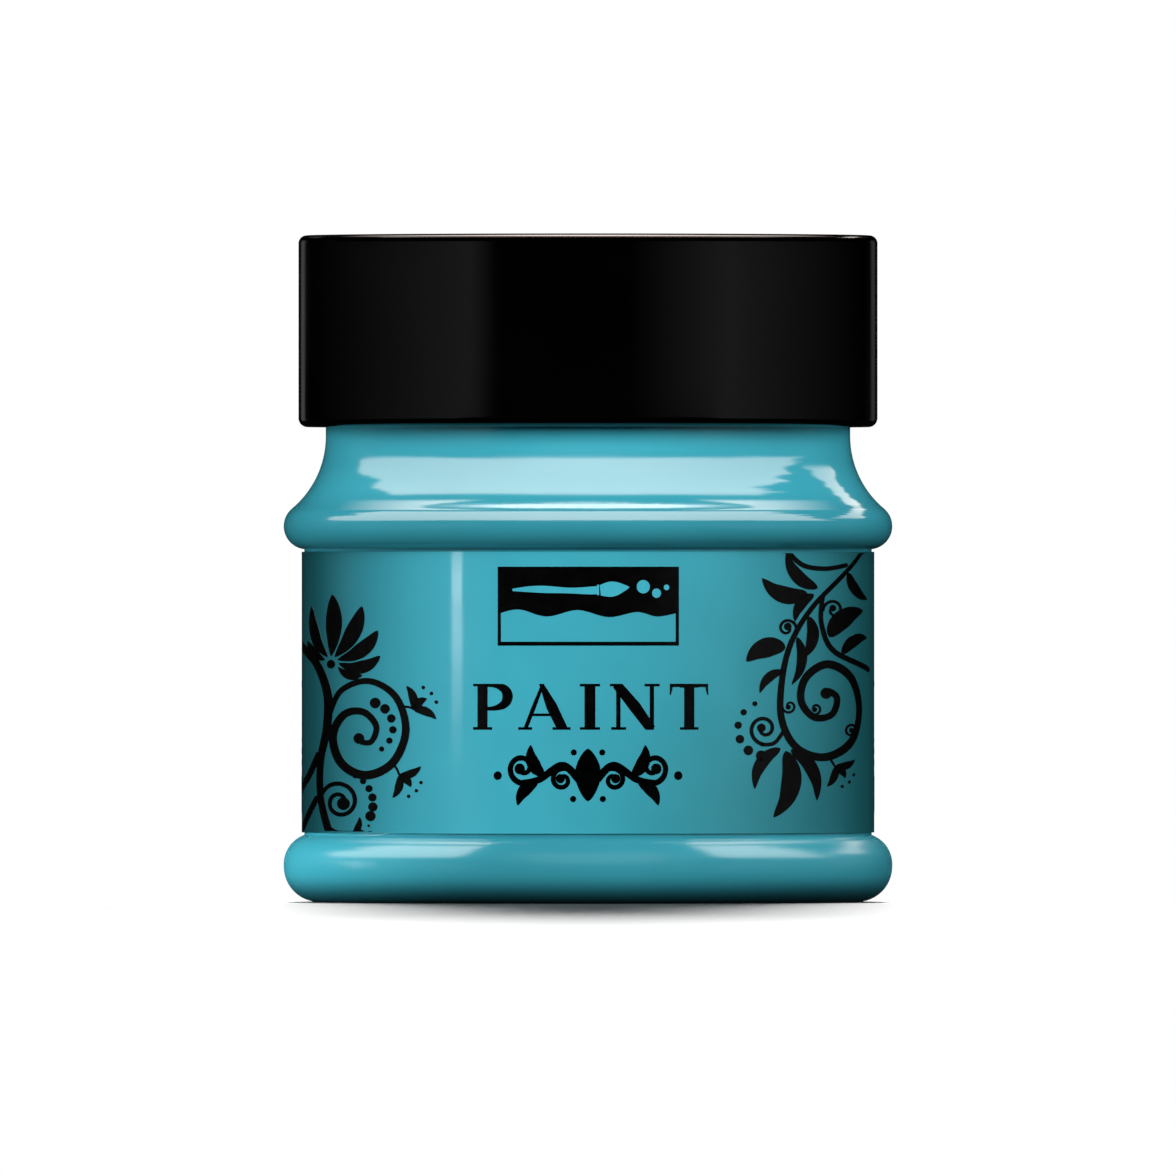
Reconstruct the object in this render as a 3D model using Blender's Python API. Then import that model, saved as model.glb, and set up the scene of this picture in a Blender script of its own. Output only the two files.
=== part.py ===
"""A 50 ml paint jar: a clear moulded jar with two rounded beads and a screw neck, the paint in it,
a printed film label wrapped round it, and a black screw lid with its liner.

Units are metres. +Z is up, the origin is the centre of the base, and the label's front faces -Y.
"""

import math

import bmesh
import bpy

MM = 0.001

# The jar's outside, from the base up.
BEAD_RADIUS = 23.65 * MM  # both beads, at their fullest
PANEL_INSET = 1.6 * MM  # how far the label's straight wall stands back from the beads
NECK_INSET = 3.27 * MM  # how far the neck stands back from the beads
FOOT_ROUND = 2.75 * MM  # under the base bead
BASE_BEAD_BAND = 0.2 * MM  # the straight part between the base bead's two rounds
BASE_BEAD_ROUND = 2.4 * MM  # over the base bead
PANEL_HEIGHT = 22.2 * MM  # between the two beads
TOP_BEAD_ROUND = 1.8 * MM
SHOULDER_RISE = 7.0 * MM  # from the top bead's middle to the foot of the neck
NECK_STEP = 0.55 * MM  # how far the threaded wall stands back from the neck
NECK_STEP_HEIGHT = 1.6 * MM  # from the foot of the neck to the threaded wall
FINISH_HEIGHT = 12.8 * MM  # from the foot of the neck to the rim

# The jar's wall and base.
WALL = 1.2 * MM
RIM_ROUND = 0.35 * MM
FOOT_RING = 1.6 * MM  # width of the flat ring that the jar stands on
PUSH_UP = 1.1 * MM  # how far the middle of the base domes up
GATE_MARK_RADIUS = 1.1 * MM
GATE_MARK_HEIGHT = 0.35 * MM

# The screw thread. The jar and the lid have the same section.
THREAD_LEAD = 4.233 * MM  # rise in one turn
THREAD_DEPTH = 1.15 * MM
THREAD_ROOT_WIDTH = 1.7 * MM
THREAD_CREST_WIDTH = 0.7 * MM
THREAD_FLANK_GAP = 0.3 * MM  # along the axis, between the lid's thread and the jar's
THREAD_CREST_GAP = 0.4 * MM  # from a crest to the other piece's wall
THREAD_SEAT = 0.45 * MM  # how far a thread's root goes into its own wall
THREAD_END_SINK = 0.15 * MM  # how far its crest has sunk into the wall at its ends
THREAD_FADE = math.radians(36)  # the run-out at each end
THREAD_BELOW_RIM = 2.9 * MM  # to the middle of the jar thread's upper end
THREAD_ABOVE_STEP = 2.4 * MM  # to the middle of the jar thread's lower end
THREAD_ABOVE_LID_EDGE = 2.6 * MM  # to the middle of the lid thread's lower end

# The lid and its liner.
LID_WALL = 1.12 * MM
LID_TOP_WALL = 1.3 * MM
LID_TOP_ROUND = 0.6 * MM
LID_EDGE_ROUND = 0.7 * MM
LID_INNER_CHAMFER = 0.3 * MM
LID_SHOULDER_GAP = 0.7 * MM  # from the foot of the neck up to the lid's edge
LINER_THICKNESS = 0.9 * MM
LINER_SIDE_GAP = 0.3 * MM
CATCH_DEPTH = 0.7 * MM  # the bead in the lid that keeps the liner from dropping out
CATCH_HEIGHT = 0.8 * MM
CATCH_LAND = 0.5 * MM  # the straight part of that bead

# The label and the paint.
FILM = 0.1 * MM
FILM_GAP = 0.1 * MM  # to the panel, and to the film's own start where its end laps it
LABEL_MARGIN = 0.2 * MM  # bare panel above and below the label
LABEL_LAP = math.radians(15)
LABEL_SEAM = math.radians(90)  # at the back
FILL_ABOVE_STEP = 1.2 * MM  # from the foot of the threaded wall to the paint's level

TOUCH_GAP = 0.3 * MM  # between pieces that touch on the real jar
SEGMENTS = 64  # facets round the jar
ARC_STEPS = 4

# Radii and heights that follow from the sizes above.
panel_radius = BEAD_RADIUS - PANEL_INSET
neck_radius = BEAD_RADIUS - NECK_INSET
finish_radius = neck_radius - NECK_STEP
lid_bore = finish_radius + THREAD_DEPTH + THREAD_CREST_GAP
lid_radius = lid_bore + LID_WALL


def bead_reach(bead_round):
    """How far above or below its middle a bead's round meets the panel."""
    return math.sqrt(bead_round**2 - (bead_round - PANEL_INSET) ** 2)


base_bead_low = FOOT_ROUND
base_bead_high = base_bead_low + BASE_BEAD_BAND
panel_low = base_bead_high + bead_reach(BASE_BEAD_ROUND)
panel_high = panel_low + PANEL_HEIGHT
top_bead_middle = panel_high + bead_reach(TOP_BEAD_ROUND)
neck_foot = top_bead_middle + SHOULDER_RISE
finish_foot = neck_foot + NECK_STEP_HEIGHT
rim = neck_foot + FINISH_HEIGHT
fill_level = finish_foot + FILL_ABOVE_STEP
liner_low = rim + TOUCH_GAP
liner_high = liner_low + LINER_THICKNESS
lid_ceiling = liner_high + TOUCH_GAP
lid_top = lid_ceiling + LID_TOP_WALL
lid_edge = neck_foot + LID_SHOULDER_GAP
jar_thread_high = rim - THREAD_BELOW_RIM
jar_thread_low = finish_foot + THREAD_ABOVE_STEP
lid_thread_high = jar_thread_high - (THREAD_ROOT_WIDTH + THREAD_CREST_WIDTH) / 2 - THREAD_FLANK_GAP
lid_thread_low = lid_edge + THREAD_ABOVE_LID_EDGE


def clear_scene():
    for old in list(bpy.data.objects):
        bpy.data.objects.remove(old)


def material(name, colour, roughness, alpha=1.0, transmission=0.0):
    made = bpy.data.materials.new(name)
    made.use_nodes = True
    shader = made.node_tree.nodes["Principled BSDF"]
    shader.inputs["Base Color"].default_value = (*colour, 1.0)
    shader.inputs["Roughness"].default_value = roughness
    shader.inputs["Metallic"].default_value = 0.0
    shader.inputs["Alpha"].default_value = alpha
    shader.inputs["Transmission Weight"].default_value = transmission
    made.diffuse_color = (*colour, alpha)
    return made


def arc(middle, radius, first, last, steps=ARC_STEPS):
    """Points (r, z) on an arc round middle, from angle first to last, in degrees."""
    angles = [math.radians(first + (last - first) * i / steps) for i in range(steps + 1)]
    return [(middle[0] + radius * math.cos(a), middle[1] + radius * math.sin(a)) for a in angles]


def without_repeats(points):
    kept = [points[0]]
    for point in points[1:]:
        if math.dist(point, kept[-1]) > 0.01 * MM:
            kept.append(point)
    return kept


def finished(name, shape, surface):
    """Makes an object of a bmesh, smooth but for its creases."""
    bmesh.ops.recalc_face_normals(shape, faces=shape.faces)
    mesh = bpy.data.meshes.new(name)
    shape.to_mesh(mesh)
    shape.free()
    mesh.shade_smooth()
    mesh.set_sharp_from_angle(angle=math.radians(30))
    mesh.materials.append(surface)
    made = bpy.data.objects.new(name, mesh)
    bpy.context.scene.collection.objects.link(made)
    return made


def turned(name, profile, surface):
    """A closed solid turned about Z, from a profile (r, z) that starts and ends on the axis."""
    shape = bmesh.new()
    corners = [shape.verts.new((r, 0, z)) for r, z in without_repeats(profile)]
    edges = [shape.edges.new(pair) for pair in zip(corners, corners[1:])]
    bmesh.ops.spin(
        shape,
        geom=corners + edges,
        cent=(0, 0, 0),
        axis=(0, 0, 1),
        angle=math.tau,
        steps=SEGMENTS,
        use_merge=True,
    )
    bmesh.ops.remove_doubles(shape, verts=shape.verts, dist=0.001 * MM)
    return finished(name, shape, surface)


def strip(name, sections, surface):
    """A closed solid through a row of four-cornered sections."""
    shape = bmesh.new()
    rings = [[shape.verts.new(corner) for corner in section] for section in sections]
    for near, far in zip(rings, rings[1:]):
        for k in range(4):
            shape.faces.new((near[k], near[k - 1], far[k - 1], far[k]))
    shape.faces.new(rings[0])
    shape.faces.new(rings[-1])
    return finished(name, shape, surface)


def at_angle(points, angle):
    """Places a section (r, z) at an angle round the axis."""
    return [(r * math.cos(angle), r * math.sin(angle), z) for r, z in points]


def bearing(middle, point):
    return math.degrees(math.atan2(point[1] - middle[1], point[0] - middle[0]))


def side(depth):
    """The jar's side from the foot ring to the foot of the neck, at a depth inside its outer face.

    The hollow shoulder is one arc: upright at the neck, and running on into the top bead.
    """
    foot_middle = (BEAD_RADIUS - FOOT_ROUND, base_bead_low)
    base_middle = (BEAD_RADIUS - BASE_BEAD_ROUND, base_bead_high)
    top_middle = (BEAD_RADIUS - TOP_BEAD_ROUND, top_bead_middle)
    low_corner = (panel_radius, panel_low)
    high_corner = (panel_radius, panel_high)
    inset = top_middle[0] - neck_radius
    hollow = (inset**2 + SHOULDER_RISE**2 - TOP_BEAD_ROUND**2) / (2 * (inset + TOP_BEAD_ROUND))
    hollow_middle = (neck_radius + hollow, neck_foot)
    leaves_base_bead = bearing(base_middle, low_corner)
    meets_top_bead = bearing(top_middle, high_corner)
    runs_on = bearing(top_middle, hollow_middle)
    points = arc(foot_middle, FOOT_ROUND - depth, -90, 0)
    points += arc(base_middle, BASE_BEAD_ROUND - depth, 0, leaves_base_bead)
    points += arc(low_corner, depth, 180 + leaves_base_bead, 180, 2)
    points += arc(high_corner, depth, 180, 180 + meets_top_bead, 2)
    points += arc(top_middle, TOP_BEAD_ROUND - depth, meets_top_bead, runs_on, 2 * ARC_STEPS)
    points += arc(hollow_middle, hollow + depth, 180 + runs_on, 180)
    return points


def dome_radius():
    return BEAD_RADIUS - FOOT_ROUND - FOOT_RING


def dome_height(radius):
    """The underside of the base, which domes up inside the foot ring."""
    return PUSH_UP * math.cos(radius / dome_radius() * math.pi / 2) ** 2


def base(depth):
    """The base from its middle out to the foot ring, at a depth inside its outer face."""
    radii = [dome_radius() * i / ARC_STEPS for i in range(ARC_STEPS + 1)]
    return [(radius, dome_height(radius) + depth) for radius in radii]


def underside():
    """The domed underside, with the moulding's round gate mark in its middle."""
    mark = dome_height(0) - GATE_MARK_HEIGHT
    mark_edge = (GATE_MARK_RADIUS, dome_height(GATE_MARK_RADIUS))
    return [(0, mark), (GATE_MARK_RADIUS, mark), mark_edge] + base(0)[1:]


def neck_outside():
    """The threaded wall, from its step over the neck up to the rim."""
    rim_middle = (finish_radius - RIM_ROUND, rim - RIM_ROUND)
    step = [(neck_radius, finish_foot - NECK_STEP), (finish_radius, finish_foot)]
    return step + arc(rim_middle, RIM_ROUND, 0, 90, 2)


def neck_inside():
    """The mouth, from the rim down to the foot of the threaded wall."""
    mouth = finish_radius - WALL
    rim_middle = (mouth + RIM_ROUND, rim - RIM_ROUND)
    return arc(rim_middle, RIM_ROUND, 90, 180, 2) + [(mouth, finish_foot)]


def thread(name, wall_radius, outward, high, low, surface):
    """A right-hand thread that winds down a wall from high to low.

    outward is 1 for a thread on the outside of a wall, and -1 for one on its inside.
    """
    steps = round((high - low) / THREAD_LEAD * SEGMENTS)
    root = wall_radius - outward * THREAD_SEAT
    flank = (THREAD_ROOT_WIDTH - THREAD_CREST_WIDTH) / 2
    root_half = THREAD_ROOT_WIDTH / 2 + flank * THREAD_SEAT / THREAD_DEPTH
    crest_half = THREAD_CREST_WIDTH / 2
    sections = []
    for i in range(steps + 1):
        turned_by = math.tau * i / SEGMENTS
        from_end = math.tau * min(i, steps - i) / SEGMENTS
        fullness = math.sin(min(from_end / THREAD_FADE, 1.0) * math.pi / 2)
        reach = (THREAD_DEPTH + THREAD_END_SINK) * fullness - THREAD_END_SINK
        crest = wall_radius + outward * reach
        height = high - THREAD_LEAD * turned_by / math.tau
        corners = (
            (root, height - root_half),
            (crest, height - crest_half),
            (crest, height + crest_half),
            (root, height + root_half),
        )
        sections.append(at_angle(corners, -turned_by))
    return strip(name, sections, surface)


def join_thread(wall, winding):
    """Unites a thread with its wall."""
    union = wall.modifiers.new("thread", "BOOLEAN")
    union.operation = "UNION"
    union.solver = "EXACT"
    union.object = winding
    winding.hide_render = True
    winding.display_type = "WIRE"


def make_jar():
    surface = material("clear_plastic", (0.86, 0.93, 0.94), 0.06, alpha=0.35, transmission=0.9)
    profile = underside() + side(0) + neck_outside()
    profile += neck_inside() + side(WALL)[::-1] + base(WALL)[::-1]
    jar = turned("jar_body", profile, surface)
    winding = thread("jar_thread", finish_radius, 1, jar_thread_high, jar_thread_low, surface)
    join_thread(jar, winding)


def make_paint():
    surface = material("paint", (0.056, 0.43, 0.54), 0.35)
    depth = WALL + TOUCH_GAP
    mouth = finish_radius - depth
    profile = base(depth) + side(depth)
    profile += [(mouth, finish_foot), (mouth, fill_level), (0, fill_level)]
    turned("paint_fill", profile, surface)


def make_label():
    """One strip of film that goes once round the panel and laps its own start."""
    surface = material("label_film", (0.6, 0.85, 0.9), 0.25, alpha=0.4)
    low = panel_low + LABEL_MARGIN
    high = panel_high - LABEL_MARGIN
    lap_steps = max(1, round(LABEL_LAP / math.tau * SEGMENTS))
    sections = []
    for i in range(SEGMENTS + lap_steps + 1):
        lifted = min(max(i - (SEGMENTS - lap_steps), 0) / lap_steps, 1.0)
        inner = panel_radius + FILM_GAP + (FILM + FILM_GAP) * lifted
        outer = inner + FILM
        corners = ((inner, low), (outer, low), (outer, high), (inner, high))
        sections.append(at_angle(corners, LABEL_SEAM + math.tau * i / SEGMENTS))
    strip("wrap_label", sections, surface)


def make_lid(screw_axis):
    surface = material("lid_plastic", (0.006, 0.006, 0.007), 0.16)
    catch_high = liner_low - TOUCH_GAP
    catch_low = catch_high - CATCH_HEIGHT
    catch_radius = lid_bore - CATCH_DEPTH
    inside = [
        (lid_bore, lid_ceiling),
        (lid_bore, catch_high),
        (catch_radius, catch_high),
        (catch_radius, catch_high - CATCH_LAND),
        (lid_bore, catch_low),
        (lid_bore, lid_edge + LID_INNER_CHAMFER),
        (lid_bore + LID_INNER_CHAMFER, lid_edge),
    ]
    edge_middle = (lid_radius - LID_EDGE_ROUND, lid_edge + LID_EDGE_ROUND)
    top_middle = (lid_radius - LID_TOP_ROUND, lid_top - LID_TOP_ROUND)
    outside = arc(edge_middle, LID_EDGE_ROUND, -90, 0) + arc(top_middle, LID_TOP_ROUND, 0, 90)
    profile = [(0, lid_ceiling)] + inside + outside + [(0, lid_top)]
    lid = turned("screw_lid", profile, surface)
    winding = thread("lid_thread", lid_bore, -1, lid_thread_high, lid_thread_low, surface)
    join_thread(lid, winding)
    lid.parent = screw_axis
    winding.parent = screw_axis


def make_liner(screw_axis):
    surface = material("liner_foam", (0.85, 0.85, 0.83), 0.8)
    edge = lid_bore - LINER_SIDE_GAP
    profile = [(0, liner_low), (edge, liner_low), (edge, liner_high), (0, liner_high)]
    liner = turned("lid_liner", profile, surface)
    liner.parent = screw_axis


def main():
    clear_scene()
    screw_axis = bpy.data.objects.new("screw_axis", None)
    bpy.context.scene.collection.objects.link(screw_axis)
    make_jar()
    make_paint()
    make_label()
    make_lid(screw_axis)
    make_liner(screw_axis)


main()
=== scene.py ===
import math
import bpy
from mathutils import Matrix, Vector, noise


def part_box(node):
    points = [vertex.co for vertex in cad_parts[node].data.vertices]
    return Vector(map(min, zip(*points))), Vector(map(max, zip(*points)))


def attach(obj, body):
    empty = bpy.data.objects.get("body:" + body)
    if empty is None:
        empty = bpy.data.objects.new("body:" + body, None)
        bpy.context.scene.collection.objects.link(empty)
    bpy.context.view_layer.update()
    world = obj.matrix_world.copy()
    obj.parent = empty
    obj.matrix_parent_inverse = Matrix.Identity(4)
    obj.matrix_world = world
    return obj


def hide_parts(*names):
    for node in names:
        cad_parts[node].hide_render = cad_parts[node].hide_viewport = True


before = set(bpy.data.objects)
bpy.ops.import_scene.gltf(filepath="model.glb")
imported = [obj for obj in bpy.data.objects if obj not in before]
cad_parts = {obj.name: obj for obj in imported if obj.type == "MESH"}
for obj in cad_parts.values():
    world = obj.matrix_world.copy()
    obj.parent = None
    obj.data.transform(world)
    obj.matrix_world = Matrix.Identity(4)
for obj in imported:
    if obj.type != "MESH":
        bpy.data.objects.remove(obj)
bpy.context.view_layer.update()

mm = 0.001
poleRadius = 0.1 * mm  # turned pieces are closed by a cap this small
softCrease = 35  # degrees above which an edge stays sharp
print("frame loaded:", sorted(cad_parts))


jarLow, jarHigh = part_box("jar_body")
lidLow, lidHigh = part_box("screw_lid")
linerLow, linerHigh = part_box("lid_liner")
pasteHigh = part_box("paint_fill")[1]
labelLow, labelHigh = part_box("wrap_label")

jar = {
    "sides": 240,
    "beadRadius": jarHigh.x,
    "rim": jarHigh.z,
    "panelInset": 1.6 * mm,
    "neckInset": 3.27 * mm,
    "footRound": 2.75 * mm,
    "baseBand": 0.2 * mm,
    "baseRound": 2.4 * mm,
    "topRound": 1.8 * mm,
    "shoulderRise": 7.0 * mm,
    "neckStep": 0.55 * mm,
    "neckStepHeight": 1.6 * mm,
    "finishHeight": 12.8 * mm,
    "wall": 1.2 * mm,
    "rimRound": 0.4 * mm,
    "footRing": 1.6 * mm,
    "pushUp": 1.1 * mm,
    "gateRadius": 1.1 * mm,
    "gateDepth": 0.35 * mm,
    "footScuff": 0.13,
    # painted shade on the paste colour, under the shoulder and under the neck
    "hollowShade": 0.78,
    "neckShade": 0.82,
    # painted contact shadow on the paste colour at the bottom of the foot
    "footShadow": 0.42,
}
jar["neckFoot"] = jar["rim"] - jar["finishHeight"]
jar["finishFoot"] = jar["neckFoot"] + jar["neckStepHeight"]
jar["topMiddle"] = jar["neckFoot"] - jar["shoulderRise"]
jar["panelRadius"] = jar["beadRadius"] - jar["panelInset"]
jar["neckRadius"] = jar["beadRadius"] - jar["neckInset"]
jar["finishRadius"] = jar["neckRadius"] - jar["neckStep"]
jar["fillLevel"] = pasteHigh.z


def deselectAll():
    if bpy.context.object and bpy.context.object.mode != "OBJECT":
        bpy.ops.object.mode_set(mode="OBJECT")
    bpy.ops.object.select_all(action="DESELECT")


def editAll():
    bpy.ops.object.mode_set(mode="EDIT")
    bpy.ops.mesh.select_all(action="SELECT")


def makeActive(piece):
    deselectAll()
    piece.select_set(True)
    bpy.context.view_layer.objects.active = piece


def arcPoints(middle, radius, first, last, steps):
    angles = [math.radians(first + (last - first) * i / steps) for i in range(steps + 1)]
    return [(middle[0] + radius * math.cos(a), middle[1] + radius * math.sin(a)) for a in angles]


def soften(share):
    return share * share * (3 - 2 * share)


def bearing(middle, point):
    return math.degrees(math.atan2(point[1] - middle[1], point[0] - middle[0]))


def turnOutline(name, outline, sides, crease=softCrease):
    # a filled circle, extruded ring by ring along the outline and scaled to each radius
    points = [outline[0]]
    for point in outline[1:]:
        if math.dist(point, points[-1]) > 0.005 * mm:
            points.append(point)
    deselectAll()
    bpy.ops.mesh.primitive_circle_add(
        vertices=sides, radius=points[0][0], fill_type="NGON", location=(0, 0, points[0][1])
    )
    piece = bpy.context.object
    piece.name = name
    bpy.ops.object.transform_apply(location=True, rotation=True, scale=True)
    editAll()
    for (oldRadius, oldHeight), (radius, height) in zip(points, points[1:]):
        bpy.ops.mesh.extrude_region_move(TRANSFORM_OT_translate={"value": (0, 0, height - oldHeight)})
        grow = radius / oldRadius
        bpy.ops.transform.resize(value=(grow, grow, 1), center_override=(0, 0, 0))
    bpy.ops.mesh.select_all(action="SELECT")
    bpy.ops.mesh.normals_make_consistent(inside=False)
    bpy.ops.object.mode_set(mode="OBJECT")
    bpy.ops.object.shade_smooth_by_angle(angle=math.radians(crease))
    return piece


def startMaterial(name, roughness=0.3, colour=(0.5, 0.5, 0.5)):
    made = bpy.data.materials.new(name)
    made.use_nodes = True
    shader = made.node_tree.nodes["Principled BSDF"]
    shader.inputs["Base Color"].default_value = (*colour, 1)
    shader.inputs["Roughness"].default_value = roughness
    return made, made.node_tree, shader


def objectNoise(tree, scale, detail):
    place = tree.nodes.new("ShaderNodeTexCoord")
    cloud = tree.nodes.new("ShaderNodeTexNoise")
    cloud.inputs["Scale"].default_value = scale
    cloud.inputs["Detail"].default_value = detail
    tree.links.new(place.outputs["Object"], cloud.inputs["Vector"])
    return cloud.outputs["Fac"]


def mapRange(tree, source, low, high, newLow, newHigh, smooth=False):
    node = tree.nodes.new("ShaderNodeMapRange")
    if smooth:
        node.interpolation_type = "SMOOTHSTEP"
    node.inputs["From Min"].default_value = low
    node.inputs["From Max"].default_value = high
    node.inputs["To Min"].default_value = newLow
    node.inputs["To Max"].default_value = newHigh
    tree.links.new(source, node.inputs["Value"])
    return node.outputs["Result"]


def tint(tree, factor, first, second):
    node = tree.nodes.new("ShaderNodeMix")
    node.data_type = "RGBA"
    node.inputs["A"].default_value = (*first, 1)
    node.inputs["B"].default_value = (*second, 1)
    tree.links.new(factor, node.inputs["Factor"])
    return node.outputs["Result"]


def mottle(tree, shader, cloud, low, high, first, second):
    share = mapRange(tree, cloud, low, high, 0, 1)
    tree.links.new(tint(tree, share, first, second), shader.inputs["Base Color"])


def polish(tree, shader, cloud, low, high, smooth, rough):
    tree.links.new(mapRange(tree, cloud, low, high, smooth, rough), shader.inputs["Roughness"])


def shadeColour(tree, shader, colour, factor):
    scaled = tree.nodes.new("ShaderNodeVectorMath")
    scaled.operation = "SCALE"
    tree.links.new(colour, scaled.inputs[0])
    tree.links.new(factor, scaled.inputs["Scale"])
    tree.links.new(scaled.outputs[0], shader.inputs["Base Color"])


def addBump(tree, shader, height, distance, strength=1.0):
    bump = tree.nodes.new("ShaderNodeBump")
    bump.inputs["Strength"].default_value = strength
    bump.inputs["Distance"].default_value = distance
    tree.links.new(height, bump.inputs["Height"])
    tree.links.new(bump.outputs["Normal"], shader.inputs["Normal"])


def objectAxes(tree):
    place = tree.nodes.new("ShaderNodeTexCoord")
    split = tree.nodes.new("ShaderNodeSeparateXYZ")
    tree.links.new(place.outputs["Object"], split.inputs["Vector"])
    return split.outputs


def objectHeight(tree, low, high, newLow, newHigh):
    return mapRange(tree, objectAxes(tree)["Z"], low, high, newLow, newHigh, True)


def combine(tree, operation, first, second):
    node = tree.nodes.new("ShaderNodeMath")
    node.operation = operation
    for socket, value in zip(node.inputs, (first, second)):
        if isinstance(value, (int, float)):
            socket.default_value = value
        else:
            tree.links.new(value, socket)
    return node.outputs[0]


def turnFromFront(tree, axes):
    return combine(tree, "ARCTAN2", axes["X"], combine(tree, "MULTIPLY", axes["Y"], -1))


def filledWallMaterial():
    # paste seen through the clear wall that it clings to
    made, tree, shader = startMaterial("filledWall", 0.07)
    shader.inputs["IOR"].default_value = 1.57
    cloud = objectNoise(tree, 160, 3)
    share = mapRange(tree, cloud, 0.3, 0.7, 0, 1)
    colour = tint(tree, share, (0.052, 0.435, 0.552), (0.058, 0.460, 0.577))
    # painted shade: the paste colour is darkened a little under the neck, and more under the shoulder, where the
    # upturned surface would otherwise catch more light
    neckFoot, topMiddle = jar["neckFoot"], jar["topMiddle"]
    below = objectHeight(tree, neckFoot - 2.2 * mm, neckFoot - 0.4 * mm, jar["neckShade"], 1)
    hollowShadeRamp = objectHeight(tree, topMiddle, topMiddle + 3 * mm, jar["hollowShade"], 1)
    hollowShadeRamp = combine(tree, "MULTIPLY", hollowShadeRamp, below)
    footShadowRamp = objectHeight(tree, 0.3 * mm, 2.2 * mm, jar["footShadow"], 1)  # painted contact shadow: darker toward the bottom of the foot
    shadeColour(tree, shader, colour, combine(tree, "MULTIPLY", hollowShadeRamp, footShadowRamp))
    smudge = mapRange(tree, objectNoise(tree, 90, 4), 0.35, 0.7, 0.07, 0.12)
    scuffed = objectHeight(tree, 5 * mm, 8 * mm, jar["footScuff"], 0)  # the foot is worn dull
    tree.links.new(combine(tree, "ADD", smudge, scuffed), shader.inputs["Roughness"])
    wave = objectNoise(tree, 130, 1)
    addBump(tree, shader, wave, 0.02 * mm, 0.5)
    return made


def clearPlasticMaterial():
    made, tree, shader = startMaterial("clearPlastic", 0.03, (0.97, 0.99, 0.99))
    shader.inputs["IOR"].default_value = 1.57
    shader.inputs["Transmission Weight"].default_value = 1.0
    polish(tree, shader, objectNoise(tree, 120, 3), 0.4, 0.75, 0.02, 0.08)
    return made


def lidMaterial():
    made, tree, shader = startMaterial("lidPlastic", 0.12)
    shader.inputs["IOR"].default_value = 1.5
    cloud = objectNoise(tree, 70, 3)
    mottle(tree, shader, cloud, 0.35, 0.7, (0.0001, 0.0001, 0.00012), (0.0003, 0.0003, 0.00033))
    polish(tree, shader, objectNoise(tree, 110, 4), 0.35, 0.75, 0.09, 0.17)
    grain = objectNoise(tree, 2600, 2)
    addBump(tree, shader, grain, 0.004 * mm, 0.4)
    return made


def labelMaterial():
    # clear film over the paste, its colour carrying painted shade: darker toward each side of the front, and toward the
    # lower right
    made, tree, shader = startMaterial("labelFilm", 0.08)
    shader.inputs["IOR"].default_value = 1.5
    axes = objectAxes(tree)
    turn = turnFromFront(tree, axes)

    def overAngle(value, limits, newLow, newHigh):
        first, last = (math.radians(limit) for limit in limits)
        return mapRange(tree, value, first, last, newLow, newHigh, True)

    away = combine(tree, "ABSOLUTE", turn, 0)
    # painted shade, darkening the film toward each side of the front and lifting again toward the back
    paintedSideShade = combine(
        tree, "MULTIPLY", overAngle(away, label["sideShadeFrom"], 0, 1), overAngle(away, label["sideShadeTo"], 1, 0.25)
    )
    # painted shade: the film goes from a lit tone to a darker one toward the lower right and toward the bottom
    paintedLeanShade = overAngle(turn, label["leanShadeAngles"], 0, 1)
    down = mapRange(tree, axes["Z"], 6 * mm, 26 * mm, 1, 0.5)
    shade = combine(tree, "MULTIPLY", paintedLeanShade, down)
    base = tint(tree, shade, label["light"], label["paintedShadeTone"])
    colour = tree.nodes.new("ShaderNodeMix")
    colour.data_type = "RGBA"
    tree.links.new(paintedSideShade, colour.inputs["Factor"])
    tree.links.new(base, colour.inputs["A"])
    colour.inputs["B"].default_value = (*label["paintedSideShade"], 1)
    lift = mapRange(tree, objectNoise(tree, 210, 3), 0.3, 0.7, 0.97, 1.03)
    shadeColour(tree, shader, colour.outputs["Result"], lift)
    polish(tree, shader, objectNoise(tree, 150, 4), 0.35, 0.75, 0.06, 0.12)
    wave = objectNoise(tree, 170, 1)
    addBump(tree, shader, wave, 0.012 * mm, 0.5)
    return made


def inkMaterial(name, first, second):
    made, tree, shader = startMaterial(name, 0.3)
    shader.inputs["IOR"].default_value = 1.4
    grain = objectNoise(tree, 1500, 3)
    mottle(tree, shader, grain, 0.35, 0.7, first, second)
    polish(tree, shader, grain, 0.3, 0.7, 0.16, 0.22)
    addBump(tree, shader, grain, 0.0015 * mm, 0.2)
    return made


def pasteMaterial():
    made, tree, shader = startMaterial("paste", 0.4)
    grain = objectNoise(tree, 900, 4)
    mottle(tree, shader, grain, 0.3, 0.7, (0.045, 0.39, 0.5), (0.062, 0.46, 0.575))
    addBump(tree, shader, grain, 0.05 * mm)
    return made


def foamMaterial():
    made, tree, shader = startMaterial("linerFoam", 0.85)
    grain = objectNoise(tree, 4000, 2)
    mottle(tree, shader, grain, 0.3, 0.7, (0.72, 0.72, 0.69), (0.84, 0.84, 0.81))
    addBump(tree, shader, grain, 0.04 * mm)
    return made


def beadReach(beadRound, panelInset):
    return math.sqrt(beadRound**2 - (beadRound - panelInset) ** 2)


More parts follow.
